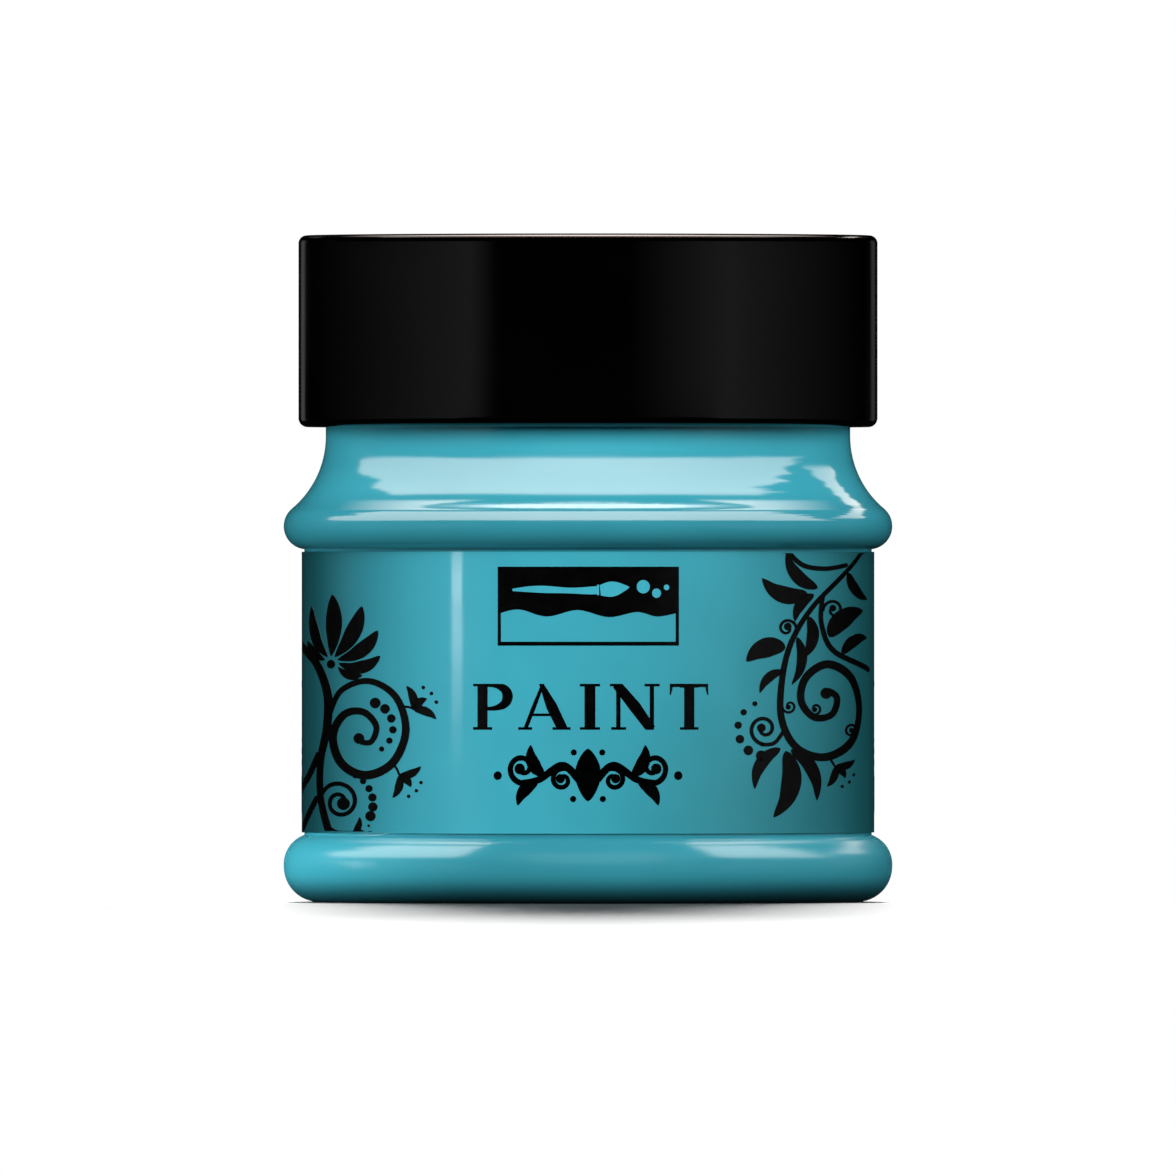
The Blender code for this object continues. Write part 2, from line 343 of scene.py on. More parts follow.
def sideOutline(depth, arcSteps):
    # the jar's side from the foot ring up to the neck, at a depth inside its outer face
    baseHigh = jar["footRound"] + jar["baseBand"]
    footMiddle = (jar["beadRadius"] - jar["footRound"], jar["footRound"])
    baseMiddle = (jar["beadRadius"] - jar["baseRound"], baseHigh)
    topMiddle = (jar["beadRadius"] - jar["topRound"], jar["topMiddle"])
    lowCorner = (jar["panelRadius"], baseHigh + beadReach(jar["baseRound"], jar["panelInset"]))
    highCorner = (jar["panelRadius"], jar["topMiddle"] - beadReach(jar["topRound"], jar["panelInset"]))
    inset = topMiddle[0] - jar["neckRadius"]
    hollow = (inset**2 + jar["shoulderRise"] ** 2 - jar["topRound"] ** 2) / (2 * (inset + jar["topRound"]))
    hollowMiddle = (jar["neckRadius"] + hollow, jar["neckFoot"])
    leaves = bearing(baseMiddle, lowCorner)
    meets = bearing(topMiddle, highCorner)
    runsOn = bearing(topMiddle, hollowMiddle)
    points = arcPoints(footMiddle, jar["footRound"] - depth, -90, 0, arcSteps)
    points += arcPoints(baseMiddle, jar["baseRound"] - depth, 0, leaves, arcSteps)
    points += arcPoints(lowCorner, depth, 180 + leaves, 180, 2)
    points += arcPoints(highCorner, depth, 180, 180 + meets, 2)
    points += arcPoints(topMiddle, jar["topRound"] - depth, meets, runsOn, 2 * arcSteps)
    points += arcPoints(hollowMiddle, hollow + depth, 180 + runsOn, 180, 2 * arcSteps)
    return points


def domeHeight(radius):
    reach = jar["beadRadius"] - jar["footRound"] - jar["footRing"]
    return jar["pushUp"] * math.cos(min(radius / reach, 1) * math.pi / 2) ** 2


def baseOutline(depth, steps, first):
    reach = jar["beadRadius"] - jar["footRound"] - jar["footRing"]
    radii = [first + (reach - first) * i / steps for i in range(steps + 1)]
    return [(radius, domeHeight(radius) + depth) for radius in radii]


thread = {
    "lead": 4.233 * mm,  # rise in one turn
    "depth": 1.15 * mm,
    "rootWidth": 1.7 * mm,
    "crestWidth": 0.7 * mm,
    "flankGap": 0.3 * mm,
    "seat": 0.4 * mm,  # how far the root goes into its wall
    "endSink": 0.15 * mm,
    "fade": 36,  # degrees of run-out at each end
    "belowRim": 2.9 * mm,
    "aboveStep": 2.4 * mm,
    "aboveLidEdge": 2.6 * mm,
}
thread["jarHigh"] = jar["rim"] - thread["belowRim"]
thread["jarLow"] = jar["finishFoot"] + thread["aboveStep"]
thread["lidHigh"] = thread["jarHigh"] - (thread["rootWidth"] + thread["crestWidth"]) / 2 - thread["flankGap"]
thread["lidLow"] = lidLow.z + thread["aboveLidEdge"]


def windThread(name, wallRadius, outward, high, low, sides=180):
    # one section swept down the wall by a Screw modifier, its crest sunk away at both ends
    steps = round((high - low) / thread["lead"] * sides)
    crest = thread["crestWidth"] / 2
    root = thread["rootWidth"] / 2
    depth = thread["depth"]
    flare = (root - crest) * thread["seat"] / depth
    section = [
        (-thread["seat"], -root - flare),
        (0, -root),
        (0.72 * depth, -crest - 0.28 * (root - crest)),
        (0.94 * depth, -crest + 0.02 * mm),
        (depth, -0.55 * crest),
        (depth, 0.55 * crest),
        (0.94 * depth, crest - 0.02 * mm),
        (0.72 * depth, crest + 0.28 * (root - crest)),
        (0, root),
        (-thread["seat"], root + flare),
    ]
    deselectAll()
    bpy.ops.mesh.primitive_circle_add(vertices=len(section), radius=1 * mm, fill_type="NOTHING")
    piece = bpy.context.object
    piece.name = name
    begins = -math.tau * steps / sides
    for vertex, (reach, across) in zip(piece.data.vertices, section):
        radius = wallRadius + outward * reach
        vertex.co = (radius * math.cos(begins), radius * math.sin(begins), low + across)
    winding = piece.modifiers.new("winding", "SCREW")
    winding.axis = "Z"
    winding.angle = math.tau * steps / sides
    winding.screw_offset = thread["lead"] * steps / sides
    winding.steps = steps
    winding.render_steps = steps
    bpy.ops.object.modifier_apply(modifier="winding")
    for vertex in piece.data.vertices:
        step = vertex.index // len(section)
        fromEnd = min(step, steps - step) * 360 / sides
        fullness = math.sin(min(fromEnd / thread["fade"], 1) * math.pi / 2)
        radius = math.hypot(vertex.co.x, vertex.co.y)
        reach = (radius - wallRadius) * outward
        if reach > 0.01 * mm:
            sunk = (reach + thread["endSink"]) * fullness - thread["endSink"]
            grow = (wallRadius + outward * sunk) / radius
            vertex.co.x *= grow
            vertex.co.y *= grow
    bpy.ops.object.mode_set(mode="EDIT")
    bpy.ops.mesh.select_all(action="DESELECT")
    bpy.ops.mesh.select_non_manifold()
    bpy.ops.mesh.edge_face_add()
    bpy.ops.mesh.select_all(action="SELECT")
    bpy.ops.mesh.normals_make_consistent(inside=False)
    bpy.ops.object.mode_set(mode="OBJECT")
    return piece


def joinThread(wall, winding):
    makeActive(wall)
    union = wall.modifiers.new("thread", "BOOLEAN")
    union.operation = "UNION"
    union.solver = "EXACT"
    union.object = winding
    bpy.ops.object.modifier_apply(modifier="thread")
    deselectAll()
    winding.select_set(True)
    bpy.ops.object.delete()
    makeActive(wall)
    bpy.ops.object.shade_smooth_by_angle(angle=math.radians(softCrease))


def makeJar():
    gate = domeHeight(0) - jar["gateDepth"]
    mouth = jar["finishRadius"] - jar["wall"]
    outline = [(poleRadius, gate), (jar["gateRadius"], gate)]
    outline += baseOutline(0, 14, jar["gateRadius"])
    outline += sideOutline(0, 12)
    outline += [(jar["neckRadius"], jar["finishFoot"] - jar["neckStep"]), (jar["finishRadius"], jar["finishFoot"])]
    outline += [(jar["finishRadius"], jar["fillLevel"])]
    rimLow = jar["rim"] - jar["rimRound"]
    outline += arcPoints((jar["finishRadius"] - jar["rimRound"], rimLow), jar["rimRound"], 0, 90, 6)
    outline += arcPoints((mouth + jar["rimRound"], rimLow), jar["rimRound"], 90, 180, 6)
    outline += [(mouth, jar["fillLevel"]), (mouth, jar["finishFoot"])]
    outline += sideOutline(jar["wall"], 6)[::-1]
    outline += baseOutline(jar["wall"], 10, poleRadius)[::-1]
    piece = turnOutline("jarBody", outline, jar["sides"])
    joinThread(piece, windThread("jarThread", jar["finishRadius"], 1, thread["jarHigh"], thread["jarLow"]))
    piece.data.materials.clear()
    piece.data.materials.append(filledWallMaterial())
    piece.data.materials.append(clearPlasticMaterial())
    for face in piece.data.polygons:
        face.material_index = 1 if face.center.z > jar["fillLevel"] else 0
    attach(piece, "jar")
    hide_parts("jar_body")


makeJar()
print("jar made")

lid = {
    "sides": 240,
    "wall": 1.12 * mm,
    "topWall": 1.3 * mm,
    "topRound": 0.62 * mm,
    "edgeRound": 0.7 * mm,
    "chamfer": 0.3 * mm,
    "catchDepth": 0.7 * mm,  # the bead that keeps the liner in
    "catchHeight": 0.8 * mm,
    "catchLand": 0.5 * mm,
    "linerGap": 0.3 * mm,
    "gateRadius": 1.0 * mm,
    "gateDepth": 0.12 * mm,
}


def makeLid():
    radius = lidHigh.x
    bore = radius - lid["wall"]
    ceiling = lidHigh.z - lid["topWall"]
    catchHigh = linerLow.z - lid["linerGap"]
    catchLow = catchHigh - lid["catchHeight"]
    outline = [(poleRadius, ceiling), (bore - 0.3 * mm, ceiling)]
    outline += arcPoints((bore - 0.3 * mm, ceiling - 0.3 * mm), 0.3 * mm, 90, 0, 4)
    outline += [(bore, catchHigh), (bore - lid["catchDepth"], catchHigh)]
    outline += [(bore - lid["catchDepth"], catchHigh - lid["catchLand"]), (bore, catchLow)]
    outline += [(bore, lidLow.z + lid["chamfer"]), (bore + lid["chamfer"], lidLow.z)]
    outline += arcPoints((radius - lid["edgeRound"], lidLow.z + lid["edgeRound"]), lid["edgeRound"], -90, 0, 8)
    outline += arcPoints((radius - lid["topRound"], lidHigh.z - lid["topRound"]), lid["topRound"], 0, 90, 10)
    outline += [(3 * lid["gateRadius"], lidHigh.z), (lid["gateRadius"], lidHigh.z)]
    outline += [(0.85 * lid["gateRadius"], lidHigh.z - lid["gateDepth"]), (poleRadius, lidHigh.z - lid["gateDepth"])]
    piece = turnOutline("screwLid", outline, lid["sides"])
    joinThread(piece, windThread("lidThread", bore, -1, thread["lidHigh"], thread["lidLow"]))
    piece.data.materials.clear()
    piece.data.materials.append(lidMaterial())
    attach(piece, "lid")
    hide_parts("screw_lid")


makeLid()
print("lid made")

paste = {
    "gap": 0.03 * mm,
    "cling": 0.35 * mm,  # how far the paste climbs the wall
    "rings": 26,
    "swirl": 0.28 * mm,
    "swirlTurns": 2.6,
}


def makePaste():
    deep = jar["wall"] + paste["gap"]
    mouth = jar["finishRadius"] - deep
    outline = baseOutline(deep, 8, poleRadius) + sideOutline(deep, 6)
    outline += [(mouth, jar["finishFoot"]), (mouth, jar["fillLevel"] - 0.02 * mm)]
    level = jar["fillLevel"] - paste["cling"] - paste["swirl"]
    for i in range(1, paste["rings"] + 1):
        share = i / paste["rings"]
        radius = mouth * (1 - share) + poleRadius * share
        climb = paste["cling"] * math.exp(-(mouth - radius) / (0.7 * mm))
        outline.append((radius, level + climb))
    piece = turnOutline("pasteFill", outline, 160, 60)
    for vertex in piece.data.vertices:
        radius = math.hypot(vertex.co.x, vertex.co.y)
        if vertex.co.z > level - 0.01 * mm and radius < mouth - 0.1 * mm:
            turned = math.atan2(vertex.co.y, vertex.co.x)
            spread = radius / mouth
            ridge = math.cos(turned + spread * paste["swirlTurns"] * math.tau)
            lump = noise.noise(Vector((vertex.co.x, vertex.co.y, 0)) * 260)
            fall = math.sin(min(1, 1.05 * (1 - spread) + 0.02) * math.pi / 2) * min(1, spread * 5)
            vertex.co.z += paste["swirl"] * (0.62 * ridge + 0.38 * lump) * fall
    piece.data.materials.append(pasteMaterial())
    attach(piece, "jar")
    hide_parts("paint_fill")


makePaste()
print("paste made")

liner = {"sides": 180, "edgeRound": 0.2 * mm, "dent": 0.1 * mm}


def makeLiner():
    radius = linerHigh.x
    edge = liner["edgeRound"]
    rimOut = jar["finishRadius"]
    rimIn = rimOut - jar["wall"]
    low = linerLow.z
    outline = [(poleRadius, low), (rimIn - 0.2 * mm, low), (rimIn + 0.1 * mm, low + liner["dent"])]
    outline += [(rimOut - 0.1 * mm, low + liner["dent"]), (rimOut + 0.2 * mm, low)]  # where the rim has pressed
    outline += arcPoints((radius - edge, low + edge), edge, -90, 0, 4)
    outline += arcPoints((radius - edge, linerHigh.z - edge), edge, 0, 90, 4)
    outline += [(poleRadius, linerHigh.z)]
    piece = turnOutline("linerDisc", outline, liner["sides"], 25)
    piece.data.materials.append(foamMaterial())
    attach(piece, "liner")
    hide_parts("lid_liner")


makeLiner()
print("liner made")

label = {
    "low": labelLow.z,
    "high": labelHigh.z,
    "thick": 0.1 * mm,
    "gap": 0.1 * mm,
    "lap": 15,  # degrees by which one end lies over the other, at the back
    "lift": 0.05 * mm,  # how far the free edge has come up
    "columns": 250,
    "rows": 12,
    "sideShadeFrom": (24, 77),  # degrees round from the front over which painted shade darkens the film
    "sideShadeTo": (105, 150),  # and over which that painted shade lifts again
    # angles, lit tone and painted-shade tone of the painted shade across the front
    "leanShadeAngles": (-32, 44),
    "light": (0.056, 0.440, 0.555),
    "paintedShadeTone": (0.032, 0.240, 0.288),
    # colour of the painted side shade
    "paintedSideShade": (0.0105, 0.092, 0.108),
}
label["radius"] = jar["panelRadius"] + label["gap"] + label["thick"]


def makeLabel():
    span = 360 + label["lap"]
    deselectAll()
    bpy.ops.mesh.primitive_grid_add(x_subdivisions=label["columns"], y_subdivisions=label["rows"], size=1)
    piece = bpy.context.object
    piece.name = "labelFilm"
    for vertex in piece.data.vertices:
        # the film turns once round the panel, and its last stretch climbs onto its first
        turned = (vertex.co.x + 0.5) * span
        over = min(max((turned - 360 + 6) / 6, 0), 1)
        radius = label["radius"] + over * (label["thick"] + label["gap"])
        curl = max(0, (turned - span + 4) / 4)
        radius += label["lift"] * curl * curl * (0.5 + 0.5 * math.sin(9 * vertex.co.y))
        angle = math.radians(turned - 180 - label["lap"] / 2)
        height = label["low"] + (vertex.co.y + 0.5) * (label["high"] - label["low"])
        vertex.co = (radius * math.sin(angle), -radius * math.cos(angle), height)
    thick = piece.modifiers.new("thick", "SOLIDIFY")
    thick.thickness = label["thick"]
    thick.offset = -1
    bpy.ops.object.modifier_apply(modifier="thick")
    bpy.ops.object.shade_smooth_by_angle(angle=math.radians(softCrease))
    piece.data.materials.append(labelMaterial())
    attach(piece, "jar")
    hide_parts("wrap_label")


makeLabel()
print("label made")

ink = {
    "proud": 0.02 * mm,  # printed thickness above the film
    "sunk": 0.006 * mm,
    "across": 4,
    "sideStretch": 62,  # degrees up to which the artwork is squared to the front
    "black": ((0.0003, 0.0004, 0.0004), (0.0009, 0.0011, 0.0012)),
    "tealInk": ((0.050, 0.405, 0.515), (0.057, 0.440, 0.555)),
}


def smoothPath(points, steps):
    # a soft curve through the points, with the same number of steps between each two
    held = [points[0]] + list(points) + [points[-1]]
    path = []
    for i in range(1, len(held) - 2):
        before, start, end, after = (Vector(p) for p in held[i - 1 : i + 3])
        for j in range(steps):
            t = j / steps
            bend = (2 * before - 5 * start + 4 * end - after) * t * t
            twist = (3 * start - before - 3 * end + after) * t * t * t
            path.append(0.5 * (2 * start + (end - before) * t + bend + twist))
    path.append(Vector(points[-1]))
    return path


def inkStrip(path, widths):
    # a strip of ink along a path, in millimetres on the unrolled label
    deselectAll()
    bpy.ops.mesh.primitive_grid_add(x_subdivisions=len(path) - 1, y_subdivisions=ink["across"], size=1)
    strip = bpy.context.object
    for vertex in strip.data.vertices:
        place = vertex.index % len(path)
        side = vertex.index // len(path) / ink["across"] - 0.5
        ahead = path[min(place + 1, len(path) - 1)]
        behind = path[max(place - 1, 0)]
        along = (Vector(ahead) - Vector(behind)).normalized()
        x, y = path[place]
        vertex.co = ((x - along.y * side * widths[place]) * mm, (y + along.x * side * widths[place]) * mm, 0)
    return strip


def inkVine(points, thick, thin=None, steps=9, swell=0.0):
    path = smoothPath(points, steps)
    last = len(path) - 1
    thin = thick if thin is None else thin
    widths = [thick + (thin - thick) * i / last + swell * math.sin(math.pi * i / last) ** 2 for i in range(last + 1)]
    widths[-1] = min(widths[-1], 0.5 * thin)
    return inkStrip(path, widths)


def inkCurl(start, heading, radius, turns, thick, thin=0.14, ball=0.3):
    # a spiral that leaves a vine along its heading, in degrees, and winds in to a ball; negative turns run clockwise
    way = math.copysign(1, turns)
    first = math.radians(heading - 90 * way)
    middle = (start[0] - radius * math.cos(first), start[1] - radius * math.sin(first))
    steps = max(12, round(abs(turns) * 40))
    path = []
    for i in range(steps + 1):
        share = i / steps
        angle = first + turns * math.tau * share
        reach = radius * (1 - 0.8 * share**0.9)
        path.append((middle[0] + reach * math.cos(angle), middle[1] + reach * math.sin(angle)))
    widths = [thick + (thin - thick) * i / steps for i in range(steps + 1)]
    return [inkStrip(path, widths), inkDot(path[-1], ball)]


def inkLeaf(root, tip, width, bend=0.2, fullest=0.42):
    # a pointed leaf on a bent midline, its tip turned back a little
    root, tip = Vector(root), Vector(tip)
    run = tip - root
    side = Vector((-run.y, run.x)) * bend
    path = smoothPath([root, root + 0.34 * run + 0.6 * side, root + 0.7 * run + 0.45 * side, tip - 0.3 * side], 6)
    last = len(path) - 1
    widths = []
    for i in range(last + 1):
        swell = (i / last) ** (math.log(0.5) / math.log(fullest))
        widths.append(max(width * math.sin(math.pi * swell) ** 0.9, 0.02))
    return inkStrip(path, widths)


def inkDot(middle, radius):
    deselectAll()
    bpy.ops.mesh.primitive_circle_add(vertices=20, radius=radius * mm, fill_type="TRIFAN")
    dot = bpy.context.object
    for vertex in dot.data.vertices:
        vertex.co.x += middle[0] * mm
        vertex.co.y += middle[1] * mm
    return dot


def inkDots(middle, radius, first, last, count, large, small):
    dots = []
    for i in range(count):
        share = i / max(count - 1, 1)
        angle = math.radians(first + (last - first) * share)
        place = (middle[0] + radius * math.cos(angle), middle[1] + radius * math.sin(angle))
        dots.append(inkDot(place, large + (small - large) * share))
    return dots


def inkBud(root, heading, size):
    # a short stalk, three small leaves and three dots over them
    root = Vector(root)
    pieces = []
    for lean, reach in ((-62, 1.0), (0, 0.7), (62, 1.0)):
        angle = math.radians(heading + lean)
        tip = root + Vector((math.cos(angle), math.sin(angle))) * size * reach
        pieces.append(inkLeaf(root, tip, size * 0.36, math.copysign(0.16, -lean)))
    for lean in (-24, 0, 24):
        angle = math.radians(heading + lean)
        place = root + Vector((math.cos(angle), math.sin(angle))) * size * 0.98
        pieces.append(inkDot(place, size * 0.075))
    return pieces


def joinFlat(strokes, name):
    flat = []
    for stroke in strokes:
        flat += stroke if isinstance(stroke, list) else [stroke]
    deselectAll()
    for stroke in flat:
        stroke.select_set(True)
    bpy.context.view_layer.objects.active = flat[0]
    bpy.ops.object.join()
    piece = bpy.context.object
    piece.name = name
    return piece


def layInk(piece, colour, turned=0, squared=False, mirrored=False, above=0.0):
    # lays flat strokes round the film and gives them their printed thickness
    radius = label["radius"] + ink["proud"] + above
    limit = math.radians(ink["sideStretch"])
    for vertex in piece.data.vertices:
        across = -vertex.co.x if mirrored else vertex.co.x
        angle = across / radius
        if squared:
            ratio = across / radius
            if abs(ratio) < math.sin(limit):
                angle = math.asin(ratio)
            else:
                angle = math.copysign(limit + (abs(ratio) - math.sin(limit)) / math.cos(limit), ratio)
        angle += math.radians(turned)
        height = min(max(vertex.co.y, label["low"] + 0.15 * mm), label["high"] - 0.1 * mm)
        vertex.co = (radius * math.sin(angle), -radius * math.cos(angle), height)
    makeActive(piece)
    if mirrored:
        editAll()
        bpy.ops.mesh.flip_normals()
        bpy.ops.object.mode_set(mode="OBJECT")
    thick = piece.modifiers.new("printed", "SOLIDIFY")
    thick.thickness = ink["proud"] + ink["sunk"] + above
    thick.offset = -1
    bpy.ops.object.modifier_apply(modifier="printed")
    bpy.ops.object.shade_smooth_by_angle(angle=math.radians(softCrease))
    piece.data.materials.append(colour)
    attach(piece, "jar")
    return piece


def copyFlat(piece, name):
    twin = bpy.data.objects.new(name, piece.data.copy())
    bpy.context.scene.collection.objects.link(twin)
    return twin


blackInk = inkMaterial("blackInk", *ink["black"])
tealInk = inkMaterial("tealInk", *ink["tealInk"])


def leftScroll():
    # a bloom on a thick stem at the left edge, with two curls and buds hanging off it
    loop = [(-20.2, 14.2), (-19.2, 16.4), (-17.0, 17.2), (-14.9, 16.0), (-14.1, 13.4), (-15.1, 10.9), (-17.2, 9.9)]
    loop += [(-19.1, 10.8), (-19.8, 12.9), (-18.9, 14.6), (-17.4, 14.8), (-16.4, 13.7), (-16.8, 12.5), (-17.7, 12.5)]
    stem = [(-24.2, 20.0), (-21.6, 18.8), (-20.3, 16.4), (-20.3, 13.6), (-20.9, 11.0), (-20.9, 8.2), (-20.1, 5.4)]
    strokes = [
        inkVine(stem, 0.8, 0.66),
        inkVine([(-24.4, 8.6), (-22.4, 9.8), (-21.0, 11.6)], 0.8, 0.6),
        inkVine([(-24.0, 5.4), (-22.6, 6.6), (-21.2, 8.2)], 0.9, 0.5),
        inkVine(loop, 0.42, 0.42, 6, 0.26),
        inkDot((-17.75, 12.75), 0.42),
        inkDots((-17.1, 13.6), 2.0, 72, -56, 6, 0.42, 0.2),
        inkVine([(-14.5, 15.2), (-13.9, 15.2), (-13.4, 15.0)], 0.2, 0.16, 4),
        inkBud((-13.5, 15.0), 42, 1.9),
        inkVine([(-15.2, 10.9), (-14.8, 10.4), (-14.6, 9.9)], 0.2, 0.16, 4),
        inkBud((-14.6, 9.9), -42, 1.8),
        inkCurl((-20.9, 8.0), 84, 1.65, -1.55, 0.34, 0.3, 0.5),
        inkDots((-19.0, 7.7), 2.35, 66, -24, 6, 0.2, 0.4),
        inkVine([(-20.2, 5.9), (-19.1, 5.35), (-18.1, 5.35)], 0.24, 0.16, 5),
        inkBud((-18.2, 5.35), 4, 1.4),
        inkDot((-19.95, 18.5), 0.34),
    ]
    for heading, reach, width, bend in (
        (148, 3.2, 0.85, 0.1),
        (116, 4.9, 1.15, 0.16),
        (88, 5.4, 1.3, -0.04),
        (60, 5.1, 1.25, -0.1),
        (33, 4.5, 1.15, -0.16),
        (6, 3.9, 1.0, -0.24),
        (-22, 2.6, 0.7, -0.2),
    ):
        way = Vector((math.cos(math.radians(heading)), math.sin(math.radians(heading))))
        heart = Vector((-19.95, 18.5))
        strokes.append(inkLeaf(heart + 0.62 * way, heart + reach * way, width, bend, 0.52))
    return joinFlat(strokes, "inkLeftScroll")


def rightScroll():
    # a vine hanging from the label's top edge, with leaves, one big curl and drops under it
    hanging = [(22.0, 27.6), (19.6, 25.2), (17.3, 22.8), (15.7, 20.1), (15.0, 17.1), (15.0, 14.2), (16.2, 12.0)]
    hanging += [(18.4, 11.3), (20.5, 12.5), (21.3, 15.0), (20.5, 17.4), (18.6, 18.5), (16.9, 17.5), (16.5, 15.7)]
    hanging += [(17.5, 14.4), (18.9, 14.6), (19.3, 15.9), (18.5, 16.5)]
    strokes = [
        inkVine(hanging, 0.34, 0.5, 6, 0.24),
        inkDot((18.45, 16.25), 0.44),
        inkVine([(15.2, 27.5), (16.6, 26.2), (18.4, 25.9), (20.2, 26.2)], 0.4, 0.34),
        inkVine([(18.2, 23.9), (18.1, 21.6), (19.2, 19.4), (22.8, 18.0)], 0.34, 0.46),
        inkCurl((18.2, 22.6), 96, 0.85, -1.2, 0.24, 0.18, 0.26),
        inkCurl((16.1, 20.9), 62, 0.8, 1.25, 0.24, 0.2, 0.3),
        inkCurl((21.0, 13.4), 100, 0.6, 1.1, 0.2, 0.16, 0.2),
        inkCurl((15.0, 15.2), -84, 0.6, 1.1, 0.2, 0.16, 0.2),
        inkCurl((17.1, 14.9), -72, 0.55, 1.1, 0.2, 0.16, 0.2),
        inkLeaf((17.0, 24.0), (13.4, 24.9), 1.35, 0.24),
        inkLeaf((17.8, 24.4), (15.2, 27.0), 1.05, 0.2),
        inkLeaf((17.5, 23.9), (15.9, 21.9), 0.85, -0.2),
        inkLeaf((15.3, 19.8), (12.2, 18.9), 1.55, -0.2),
        inkLeaf((15.1, 18.0), (13.2, 16.4), 0.75, -0.2),
        inkLeaf((16.2, 20.6), (16.0, 16.9), 0.8, 0.2),
        inkLeaf((17.1, 22.2), (16.8, 18.9), 0.95, 0.22),
        inkLeaf((18.7, 20.6), (21.6, 22.8), 1.5, 0.2),
        inkLeaf((19.7, 19.3), (22.2, 20.7), 0.95, 0.2),
        inkLeaf((20.2, 25.6), (22.2, 23.4), 0.9, -0.2),
        inkVine([(15.2, 13.4), (14.4, 12.4), (13.3, 12.3)], 0.3, 0.3, 6),
        inkCurl((13.6, 12.3), 178, 1.2, -1.3, 0.3, 0.26, 0.34),
        inkDots((13.7, 13.5), 2.1, 112, 262, 6, 0.2, 0.42),
        inkLeaf((15.3, 11.8), (14.7, 6.6), 1.55, 0.22),
        inkLeaf((14.9, 12.0), (12.7, 9.0), 1.0, -0.22),
        inkLeaf((15.7, 11.9), (18.0, 8.1), 1.05, 0.22),
        inkVine([(18.7, 11.3), (19.0, 10.8), (19.2, 10.5)], 0.2, 0.16, 4),
        inkBud((19.2, 10.6), -48, 1.7),
    ]
    return joinFlat(strokes, "inkRightScroll")


word = {
    "low": 13.45,
    "high": 17.0,
    "thick": 0.84,
    "thin": 0.34,
    "serif": 0.36,
    "serifThick": 0.2,
}


def letterStem(x, high, serif):
    low, half = word["low"], word["serifThick"] / 2
    reach = word["thick"] / 2 + serif
    strokes = [inkStrip([(x, low), (x, (low + high) / 2), (x, high)], [word["thick"]] * 3)]
    for y in (low + half, high - half):
        strokes.append(inkStrip([(x - reach, y), (x, y), (x + reach, y)], [word["serifThick"]] * 3))
    return strokes


def frontWord():
    # the plain word for what is in the jar, drawn letter by letter; a bar is three points and its widths
    low, high, thin, serif = word["low"], word["high"], word["thin"], word["serifThick"]
    middle = low + (high - low) / 2
    foot, head = low + serif / 2, high - serif / 2
    letterP = [(-8.35, -0.12), (-7.3, -0.12), (-6.55, -0.42), (-6.3, -0.98), (-6.55, -1.55), (-7.3, -1.88)]
    letterP.append((-8.2, -1.92))
    letterA = [
        ((-4.9, low), (-4.2, middle), (-3.5, high + 0.05), (thin, thin, 0.26)),
        ((-3.62, high + 0.05), (-2.8, middle), (-1.98, low), (0.4, 0.86, 0.86)),
        ((-4.45, low + 1.15), (-3.6, low + 1.15), (-2.6, low + 1.15), [serif] * 3),
        ((-5.45, foot), (-4.9, foot), (-4.35, foot), [serif] * 3),
        ((-2.75, foot), (-2.0, foot), (-1.35, foot), [serif] * 3),
    ]
    letterN = [
        ((2.35, low), (2.35, middle), (2.35, high), [thin] * 3),
        ((2.3, high), (3.65, middle), (4.85, low), [0.92] * 3),
        ((4.98, low), (4.98, middle), (4.98, high), [thin] * 3),
        ((1.8, foot), (2.35, foot), (2.95, foot), [serif] * 3),
        ((1.7, head), (2.2, head), (2.6, head), [serif] * 3),
        ((4.4, head), (5.0, head), (5.6, head), [serif] * 3),
    ]
    letterT = [((6.5, high - 0.13), (8.0, high - 0.13), (9.5, high - 0.13), [0.26] * 3)]
    for end, way in ((6.5, 1), (9.5, -1)):
        tip = [(end + 0.05 * way, high), (end + 0.02 * way, high - 0.4), (end - 0.05 * way, high - 0.85)]
        letterT.append((*tip, (0.26, 0.2, 0.1)))
    strokes = letterStem(-8.35, high, word["serif"])
    bowl = smoothPath([(x, high + y) for x, y in letterP], 5)
    strokes.append(inkStrip(bowl, [0.24 + 0.6 * math.sin(math.pi * i / 30) ** 2 for i in range(31)]))
    strokes += [inkStrip(points, widths) for *points, widths in letterA]
    strokes += letterStem(0.15, high, word["serif"])
    strokes += [inkStrip(points, widths) for *points, widths in letterN]
    strokes += letterStem(8.0, high - 0.1, 0.34)
    strokes += [inkStrip(points, widths) for *points, widths in letterT]
    for stroke in strokes:
        for vertex in stroke.data.vertices:
            vertex.co.y = min(max(vertex.co.y, low * mm), high * mm)
    return strokes


def frontDivider():
    # a leafy rule under the word, the same to both sides
    strokes = [inkLeaf((0, 7.9), (0, 12.0), 2.0, 0, 0.5)]
    for side in (-1, 1):
        strokes += [
            inkVine([(side * 0.7, 9.6), (side * 2.0, 10.7), (side * 3.8, 9.6), (side * 5.3, 9.3)], 0.62, 0.5),
            inkCurl((side * 5.1, 9.3), 90 - side * 90, 1.2, side * 1.2, 0.46, 0.34, 0.42),
            inkCurl((side * 1.5, 10.4), 90 - side * 60, 0.95, -side * 1.25, 0.42, 0.3, 0.36),
            inkLeaf((side * 3.4, 9.9), (side * 4.6, 12.2), 1.05, -side * 0.2),
            inkLeaf((side * 3.9, 9.4), (side * 5.6, 7.7), 1.0, side * 0.2),
            inkDot((side * 7.1, 9.9), 0.34),
            inkDot((side * 1.1, 11.7), 0.24),
            inkDot((side * 1.15, 8.1), 0.24),
        ]
    return strokes


